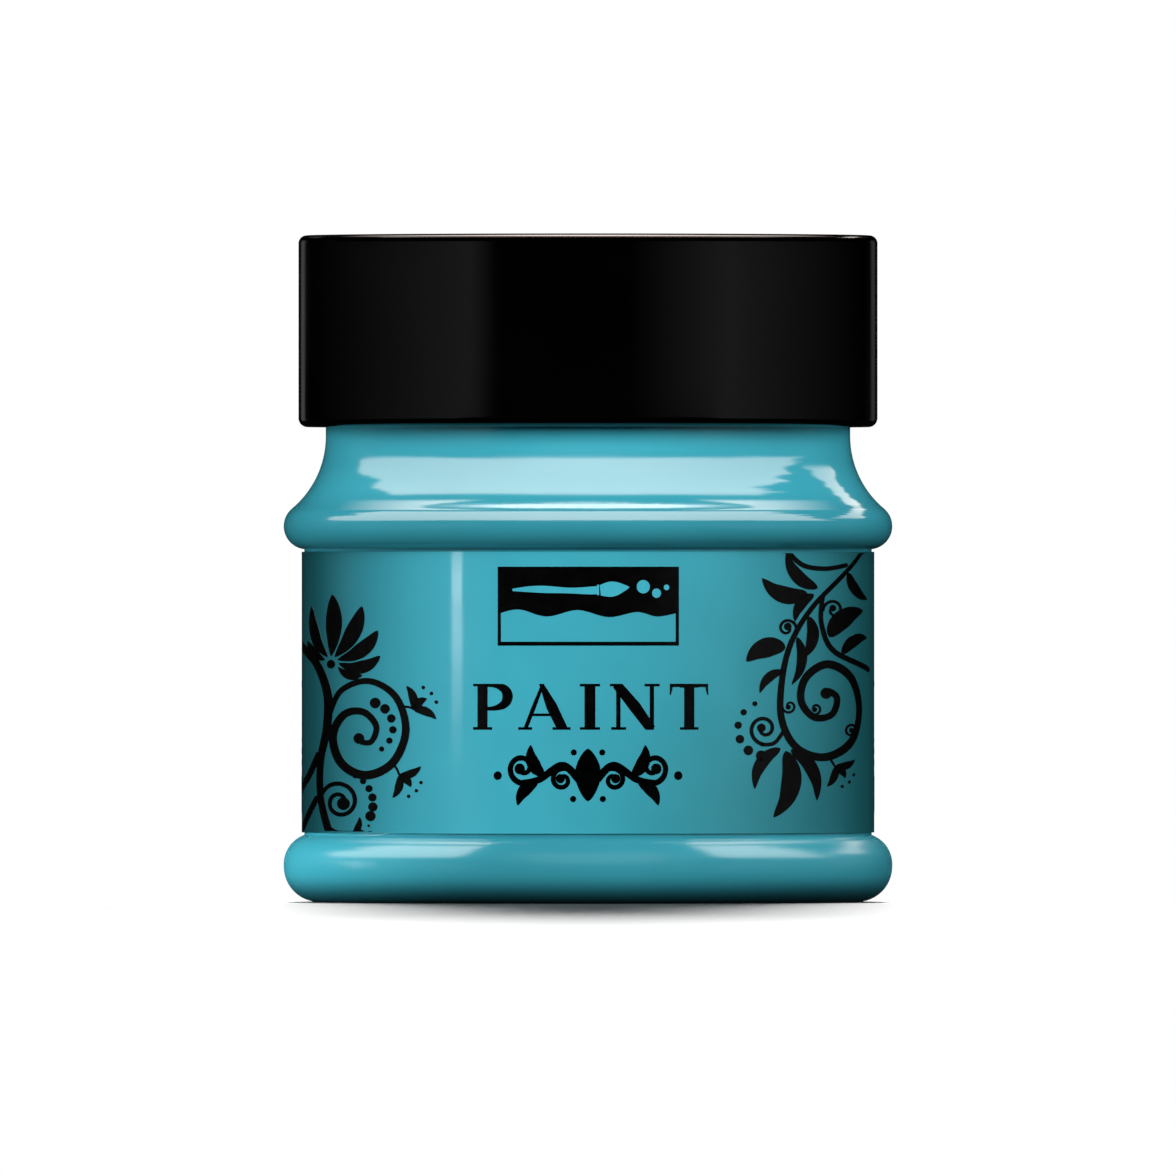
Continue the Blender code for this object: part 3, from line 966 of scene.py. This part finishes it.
def frontPlaque():
    # a solid block whose foot is a loose brush edge, in a plain square frame
    left, right, top, low = -7.1, 7.15, 26.05, 20.1
    edge = [(left, 22.4), (-5.4, 22.75), (-3.2, 22.2), (-0.8, 22.7), (1.6, 22.15), (3.8, 22.55), (5.4, 22.2)]
    foot = smoothPath([*edge, (right, 22.5)], 6)
    block = inkStrip(foot, [1] * len(foot))
    for vertex in block.data.vertices:
        place = vertex.index % len(foot)
        share = vertex.index // len(foot) / ink["across"]
        vertex.co = (foot[place].x * mm, (foot[place].y + (top - foot[place].y) * share) * mm, 0)
    rail = [(left + (right - left) * i / 28, low) for i in range(29)]
    strokes = [block, inkStrip(rail, [0.3] * 29)]
    for x in (left + 0.13, right - 0.13):
        strokes.append(inkStrip([(x, low), (x, 21.5), (x, 22.6)], [0.26] * 3))
    return strokes


def plaqueMark():
    # a paint brush laid across the block, and three drops of paint
    brushPath = [(-5.9 + 0.55 * i, 24.25 + 0.06 * math.sin(0.5 * i)) for i in range(13)]
    handle = [0.18, 0.3, 0.42, 0.5, 0.55, 0.55, 0.5, 0.46, 0.44, 0.46, 0.52, 0.6, 0.62]
    bristles = [(0.95 + 0.28 * i, 24.22 + 0.03 * i) for i in range(9)]
    spread = [0.8, 0.98, 1.12, 1.18, 1.12, 0.95, 0.7, 0.4, 0.08]
    return [
        inkStrip(brushPath, handle),
        inkStrip([(0.78, 23.85), (0.78, 24.25), (0.78, 24.65)], [0.16] * 3),
        inkStrip(bristles, spread),
        inkDot((4.3, 24.5), 0.52),
        inkDot((5.35, 24.0), 0.36),
        inkDot((6.15, 24.45), 0.22),
    ]


def sideScroll():
    # the same kind of vine, for the parts of the film that the front doesn't show
    strokes = [
        inkVine([(-8.0, 7.6), (-4.4, 6.8), (-1.0, 8.6), (1.4, 12.0), (1.3, 15.8)], 0.5, 0.5),
        inkCurl((1.3, 15.6), 92, 3.1, 1.5, 0.5, 0.46, 0.56),
        inkCurl((-0.2, 9.3), 24, 2.5, 1.35, 0.42, 0.4, 0.46),
        inkDots((1.2, 11.6), 3.6, -40, 30, 6, 0.4, 0.18),
        inkLeaf((1.6, 14.2), (4.9, 17.2), 1.5, 0.2),
        inkLeaf((1.4, 16.8), (3.4, 20.8), 1.4, -0.18),
        inkLeaf((0.9, 10.9), (-2.2, 11.8), 1.1, -0.2),
        inkLeaf((-3.4, 7.0), (-5.9, 9.9), 1.3, 0.2),
        inkLeaf((-5.0, 7.0), (-8.6, 5.9), 1.1, -0.2),
        inkBud((-1.8, 18.9), 100, 2.0),
        inkBud((4.8, 8.6), -20, 1.7),
    ]
    return joinFlat(strokes, "inkSideScroll")


def makeInk():
    left = leftScroll()
    right = rightScroll()
    side = sideScroll()
    sidePlaces = ((-104, False), (104, True), (-147, True), (147, False))  # degrees round, and mirrored or not
    backs = [(copyFlat(side, f"inkSideScroll{i}"), *sidePlace) for i, sidePlace in enumerate(sidePlaces)]
    bpy.data.objects.remove(side)
    layInk(left, blackInk, squared=True)
    layInk(right, blackInk, squared=True)
    for piece, turned, mirrored in backs:
        layInk(piece, blackInk, turned, mirrored=mirrored)
    layInk(joinFlat(frontWord(), "inkWord"), blackInk)
    layInk(joinFlat(frontDivider(), "inkDivider"), blackInk)
    layInk(joinFlat(frontPlaque(), "inkPlaque"), blackInk)
    layInk(joinFlat(plaqueMark(), "inkMark"), tealInk, above=0.012 * mm)


makeInk()
print("ink made")

stage = {
    "floorRadius": 0.4,
    "padRadius": 22 * mm,
    "padDrop": 4.6 * mm,
    "padReach": 90 * mm,
    "padSteps": 24,
    "lens": 1500,
    "sensor": 36,
    "frameWidth": 91.4 * mm,  # what the camera sees across, at the jar's axis
    "eyeHeight": 24.4 * mm,
}


def makeFloor():
    deselectAll()
    outline = [(stage["floorRadius"], -stage["padDrop"])]
    for i in range(stage["padSteps"] + 1):
        share = 1 - i / stage["padSteps"]
        radius = stage["padRadius"] + (stage["padReach"] - stage["padRadius"]) * share
        outline.append((radius, -stage["padDrop"] * soften(share)))
    bpy.ops.mesh.primitive_circle_add(
        vertices=180, radius=outline[0][0], fill_type="NGON", location=(0, 0, outline[0][1])
    )
    floor = bpy.context.object
    floor.name = "floor"
    bpy.ops.object.transform_apply(location=True, rotation=True, scale=True)
    editAll()
    for (oldRadius, oldHeight), (radius, height) in zip(outline, outline[1:]):
        bpy.ops.mesh.inset(thickness=oldRadius - radius, depth=0)
        bpy.ops.transform.translate(value=(0, 0, height - oldHeight))
    bpy.ops.object.mode_set(mode="OBJECT")
    bpy.ops.object.shade_smooth()
    made, tree, shader = startMaterial("floorPaper", 0.9, (0.22, 0.22, 0.22))
    shader.inputs["Specular IOR Level"].default_value = 0.1
    floor.data.materials.append(made)
    floor.visible_diffuse = False  # no light thrown back up onto the jar
    floor.visible_glossy = False


makeFloor()


def makeCamera():
    distance = stage["frameWidth"] * stage["lens"] / stage["sensor"]
    data = bpy.data.cameras.new("camera")
    data.lens = stage["lens"]
    data.sensor_width = stage["sensor"]
    data.clip_start = 0.1
    data.clip_end = 50
    camera = bpy.data.objects.new("camera", data)
    bpy.context.scene.collection.objects.link(camera)
    camera.location = (0, -distance, stage["eyeHeight"])
    camera.rotation_euler = (math.radians(90), 0, 0)
    bpy.context.scene.camera = camera


makeCamera()


light = {
    "worldDiffuse": 0.34,
    "worldBelow": 0.02,
    "worldGlossy": 0.003,
    "cardHeight": 0.4,  # the ceiling card's, above cardBase; its width and depth are counted in heights
    "cardBase": 33 * mm,
    "cardWide": 9,
    "cardDeep": 5.6,
    "bandGlow": 7.4,
    "coreGlow": 18,
    "patchGlow": 2.8,
    "ringGlow": 12,
    "ringInner": 21.1 * mm,
    "ringOuter": 22.45 * mm,
    "ringDrop": 0.25 * mm,
    "ringTilt": 30,  # turned outward, so that the neck isn't lit
    "ringHalf": 58,
    "ringFull": 16,
    "ringCount": 29,
    "flagHeight": 14 * mm,
    "flagInner": 22.9 * mm,
    "flagOuter": 0.25,
    "lidFlagGap": 0.15 * mm,
    "lidFlagWidth": 2.6 * mm,
    "lidFlagLift": 0.5 * mm,
    "wallGlow": 0.23,
    "wallRadius": 0.5,
    "wallLow": -0.08,
    "wallHigh": 0.12,
    "wallHalf": 145,
    "wallEnd": 142,
    "midHeight": 26 * mm,
}

# where each part of the ceiling card's glow comes and goes, as tangents of the angles that mirror it to the front
ceiling = {
    "bandLow": (0.21, 0.26),
    "bandHigh": (0.72, 0.8),
    "bandLeft": (-1.34, -1.22),
    "bandRight": (0.95, 1.05),
    "coreLow": (0.86, 0.92),
    "coreHigh": (1.25, 1.4),
    "coreEnds": (0.6, 1.7),
    "patchEdge": (0.22, 0.34),
    "patchLow": (0.3, 0.38),
    "patchHigh": (1.0, 1.1),
}


def makeWorld():
    # white behind everything, but only a soft glow from above reaches the jar
    world = bpy.data.worlds.new("studio")
    bpy.context.scene.world = world
    world.use_nodes = True
    tree = world.node_tree
    back = tree.nodes["Background"]
    place = tree.nodes.new("ShaderNodeTexCoord")
    split = tree.nodes.new("ShaderNodeSeparateXYZ")
    tree.links.new(place.outputs["Generated"], split.inputs["Vector"])
    glow = mapRange(tree, split.outputs["Z"], -0.3, 0.4, light["worldBelow"], light["worldDiffuse"], True)
    path = tree.nodes.new("ShaderNodeLightPath")
    glossy = path.outputs["Is Glossy Ray"]
    soft = combine(tree, "MULTIPLY", combine(tree, "SUBTRACT", 1, glossy), glow)
    dim = combine(tree, "ADD", soft, combine(tree, "MULTIPLY", glossy, light["worldGlossy"]))
    plain = combine(tree, "MAXIMUM", path.outputs["Is Camera Ray"], path.outputs["Is Transmission Ray"])
    tree.links.new(combine(tree, "MAXIMUM", dim, plain), back.inputs["Strength"])
    back.inputs["Color"].default_value = (1, 1, 1, 1)


makeWorld()
floor = bpy.data.objects["floor"]
onJar = [piece for piece in bpy.data.objects if piece.type == "MESH" and piece != floor]


def groupOf(pieces, name):
    group = bpy.data.collections.new(name)
    for piece in pieces:
        group.objects.link(piece)
    return group


jarGroup = groupOf(onJar, "litJar")
floorGroup = groupOf([floor], "litFloor")
shadeGroup = groupOf(onJar + [floor], "shadeMakers")
labelGroup = groupOf([piece for piece in onJar if piece.name.startswith(("label", "ink"))], "litLabel")
lidGroup = groupOf([piece for piece in onJar if piece.name.startswith("screwLid")], "litLid")
bodyGroup = groupOf([piece for piece in onJar if piece.name.startswith("jarBody")], "litBody")


def addSoftbox(name, place, aim, size, power, diffuse=True, glossy=True, lights=None):
    data = bpy.data.lights.new(name, "AREA")
    data.shape = "RECTANGLE"
    data.size, data.size_y = size
    data.energy = power
    lamp = bpy.data.objects.new(name, data)
    bpy.context.scene.collection.objects.link(lamp)
    lamp.location = place
    direction = Vector([a - b for a, b in zip(aim, place)])
    lamp.rotation_euler = direction.to_track_quat("-Z", "Y").to_euler()
    lamp.visible_camera = False
    lamp.visible_diffuse = diffuse
    lamp.visible_glossy = glossy
    lamp.visible_transmission = glossy
    if lights:
        lamp.light_linking.receiver_collection = lights
    lamp.light_linking.blocker_collection = shadeGroup


def startGlow(name, colour):
    made, tree, shader = startMaterial(name, 1, (0, 0, 0))
    shader.inputs["Specular IOR Level"].default_value = 0
    shader.inputs["Emission Color"].default_value = (*colour, 1)
    return made, tree, shader


def ceilingMaterial():
    # glows only where the shoulder would mirror it: across and up are the tangents of the angles, round from the
    # front and up from level, of the surface that mirrors a point of the card toward the front
    made, tree, shader = startGlow("ceilingGlow", (1, 0.87, 0.8))
    axes = objectAxes(tree)

    def calc(operation, first, second=0.0):
        return combine(tree, operation, first, second)

    def comes(value, name):
        return mapRange(tree, value, *ceiling[name], 0, 1, True)

    def goes(value, name):
        return mapRange(tree, value, *ceiling[name], 1, 0, True)

    def dimmed(value, rate):
        return calc("DIVIDE", value, calc("ADD", calc("MULTIPLY", calc("MULTIPLY", across, across), rate), 1))

    x = calc("DIVIDE", axes["X"], light["cardHeight"])
    y = calc("DIVIDE", axes["Y"], light["cardHeight"])
    xx = calc("MULTIPLY", x, x)
    reach = calc("SQRT", calc("ADD", calc("ADD", xx, calc("MULTIPLY", y, y)), 1))
    toward = calc("SUBTRACT", reach, y)
    across = calc("DIVIDE", x, toward)
    up = calc("DIVIDE", 1, calc("SQRT", calc("ADD", xx, calc("MULTIPLY", toward, toward))))
    vector = tree.nodes.new("ShaderNodeCombineXYZ")
    tree.links.new(calc("MULTIPLY", across, 1.1), vector.inputs["X"])
    tree.links.new(calc("MULTIPLY", up, 9), vector.inputs["Y"])
    brush = tree.nodes.new("ShaderNodeTexNoise")
    brush.inputs["Scale"].default_value = 1.0
    brush.inputs["Detail"].default_value = 3
    tree.links.new(vector.outputs[0], brush.inputs["Vector"])
    ragged = calc("SUBTRACT", brush.outputs["Fac"], 0.5)
    slanted = calc("MULTIPLY", across, calc("ADD", calc("MULTIPLY", up, 1.1), 0.45))
    slanted = calc("ADD", slanted, calc("MULTIPLY", ragged, 1.1))
    level = calc("ADD", up, calc("MULTIPLY", ragged, 0.1))
    band = calc("MULTIPLY", comes(slanted, "bandLeft"), goes(slanted, "bandRight"))
    band = calc("MULTIPLY", band, calc("MULTIPLY", comes(level, "bandLow"), goes(level, "bandHigh")))
    band = dimmed(band, 0.6)
    core = dimmed(calc("MULTIPLY", comes(up, "coreLow"), goes(up, "coreHigh")), 4)
    core = calc("MULTIPLY", core, goes(calc("ABSOLUTE", across), "coreEnds"))
    drift = calc("SUBTRACT", across, calc("ADD", calc("MULTIPLY", up, 0.86), 1.44))
    drift = calc("ABSOLUTE", calc("ADD", drift, calc("MULTIPLY", ragged, 0.9)))
    patch = calc("MULTIPLY", goes(drift, "patchEdge"), comes(up, "patchLow"))
    patch = calc("MULTIPLY", patch, goes(up, "patchHigh"))
    glow = calc("MULTIPLY", band, light["bandGlow"])
    glow = calc("ADD", glow, calc("MULTIPLY", core, light["coreGlow"]))
    glow = calc("ADD", glow, calc("MULTIPLY", patch, light["patchGlow"]))
    tree.links.new(glow, shader.inputs["Emission Strength"])
    return made


def addRingLamps():
    # a row of small lamps just under the lid's edge, seen only by the steep top of the bead, brightest toward the front
    width = light["ringOuter"] - light["ringInner"]
    radius = light["ringInner"] + width / 2
    step = 2 * light["ringHalf"] / light["ringCount"]
    long = 2 * radius * math.tan(math.radians(step / 2))
    for i in range(light["ringCount"]):
        turned = (i + 0.5) * step - light["ringHalf"]
        share = max((abs(turned) - light["ringFull"]) / (light["ringHalf"] - light["ringFull"]), 0)
        glow = light["ringGlow"] * (1 - soften(share))
        angle = math.radians(turned)
        place = (radius * math.sin(angle), -radius * math.cos(angle), lidLow.z - light["ringDrop"])
        name = f"ringLamp{i}"
        power = glow * long * width * math.pi
        addSoftbox(name, place, (0, 0, 0), (long, width), power, diffuse=False, lights=bodyGroup)
        bpy.data.objects[name].rotation_euler = (-math.radians(light["ringTilt"]), 0, angle)


def addSideCard(name, middle, wide, low, high, brightness, distance=0.5, lights=None):
    # an upright card at an angle round from the front, seen only as a highlight; low and high are slopes
    angle = math.radians(middle)
    place = (distance * math.sin(angle), -distance * math.cos(angle), light["midHeight"] + distance * (low + high) / 2)
    size = (2 * distance * math.tan(math.radians(wide / 2)), distance * (high - low))
    power = brightness * size[0] * size[1] * math.pi
    addSoftbox(name, place, (0, 0, place[2]), size, power, diffuse=False, lights=lights)


def hideCard(card, material):
    # a card that only reflections can see
    card.data.materials.append(material)
    card.visible_camera = False
    card.visible_diffuse = False
    card.visible_transmission = False


def ringGrid(name, columns, rows, place):
    # a grid whose columns run round the jar; place turns (-1..1, 0..1) into degrees, radius and height
    deselectAll()
    bpy.ops.mesh.primitive_grid_add(x_subdivisions=columns, y_subdivisions=rows, size=1)
    card = bpy.context.object
    card.name = name
    for vertex in card.data.vertices:
        turned, radius, height = place(vertex.co.x * 2, vertex.co.y + 0.5)
        angle = math.radians(turned)
        vertex.co = (radius * math.sin(angle), -radius * math.cos(angle), height)
    return card


def addCeilingCard():
    deselectAll()
    bpy.ops.mesh.primitive_grid_add(x_subdivisions=8, y_subdivisions=6, size=1)
    card = bpy.context.object
    card.name = "ceilingCard"
    high = light["cardHeight"]
    for vertex in card.data.vertices:
        x, y = vertex.co.x * light["cardWide"], vertex.co.y * light["cardDeep"] + 0.5
        vertex.co = (x * high, y * high, high + light["cardBase"])
    card.visible_shadow = False
    hideCard(card, ceilingMaterial())


def addFlags():
    # black cards: one low in front, that keeps the ceiling card off the middle of the foot, and one just over the
    # lid's edge, that leaves only a thin line of it there
    cloth = startGlow("flagCloth", (0, 0, 0))[0]

    def footPlace(across, out):
        out = out * out
        radius = light["flagInner"] + (light["flagOuter"] - light["flagInner"]) * out
        return across * (27 + 22 * min(1, out * 6)), radius, light["flagHeight"]

    def lidPlace(across, out):
        radius = lidHigh.x + light["lidFlagGap"] + light["lidFlagWidth"] * out
        return across * 100, radius, lidHigh.z + light["lidFlagLift"]

    hideCard(ringGrid("footFlag", 24, 8, footPlace), cloth)
    hideCard(ringGrid("lidFlag", 60, 2, lidPlace), cloth)


def addLidWall():
    # a curved card round the jar, whose glow rises and falls with the angle, for the soft upright bands in the lid
    made, tree, shader = startGlow("wallGlow", (1, 1, 1))
    turn = turnFromFront(tree, objectAxes(tree))
    glows = []
    for side, first, fullest in ((-1, 36, 47), (1, 16, 57)):
        away = combine(tree, "MULTIPLY", turn, side)
        rise = mapRange(tree, away, math.radians(first), math.radians(fullest), 0, light["wallGlow"])
        fall = mapRange(tree, away, math.radians(fullest), math.radians(light["wallEnd"]), 1, 0)
        fall = combine(tree, "MULTIPLY", fall, fall)
        glows.append(combine(tree, "MULTIPLY", rise, fall))
    tree.links.new(combine(tree, "ADD", *glows), shader.inputs["Emission Strength"])

    def wallPlace(across, up):
        height = light["wallLow"] + (light["wallHigh"] - light["wallLow"]) * up
        return across * light["wallHalf"], light["wallRadius"], height

    card = ringGrid("lidWall", 72, 2, wallPlace)
    card.visible_shadow = False
    hideCard(card, made)


addFlags()
middle = (0, 0, light["midHeight"])
# soft light on the jar, and a lamp behind it that lights the floor and throws the shadow forward
addSoftbox("frontKey", (0.05, -1.17, 0.6), middle, (1.1, 0.9), 19, glossy=False, lights=jarGroup)
addSoftbox("leftFill", (-0.87, 0.5, 0.15), middle, (0.5, 0.5), 7.5, glossy=False, lights=jarGroup)
addSoftbox("rightFill", (0.87, 0.5, 0.15), middle, (0.5, 0.5), 7.0, glossy=False, lights=jarGroup)
footAim = (-0.045, -0.006, -0.019)
addSoftbox("footGlow", (-0.065, -0.008, 0.006), footAim, (0.012, 0.012), 0.034, glossy=False, lights=bodyGroup)
addSoftbox("floorLight", (0, 0.34, 0.75), (0, 0, 0), (0.5, 0.3), 70, glossy=False, lights=floorGroup)
# highlights on the shoulder, the foot and the lid's top edge
addCeilingCard()
addRingLamps()
# faint upright bands in the lid
addLidWall()
addSideCard("lidRearLeft", -157, 8, -0.3, 0.45, 0.13, lights=lidGroup)
addSideCard("lidRearRight", 157, 8, -0.3, 0.45, 0.07, lights=lidGroup)
# the narrow streak on the label, fading down
streaks = (("High", -0.010, 0.0045, 7.6), ("Middle", -0.027, -0.010, 4.6), ("Low", -0.045, -0.027, 1.8))
for part, low, high, brightness in streaks:
    addSideCard(f"streak{part}", -52.4, 4.6, low, high, brightness, 0.3, labelGroup)
bpy.context.scene.view_settings.view_transform = "Standard"
print("stage made")
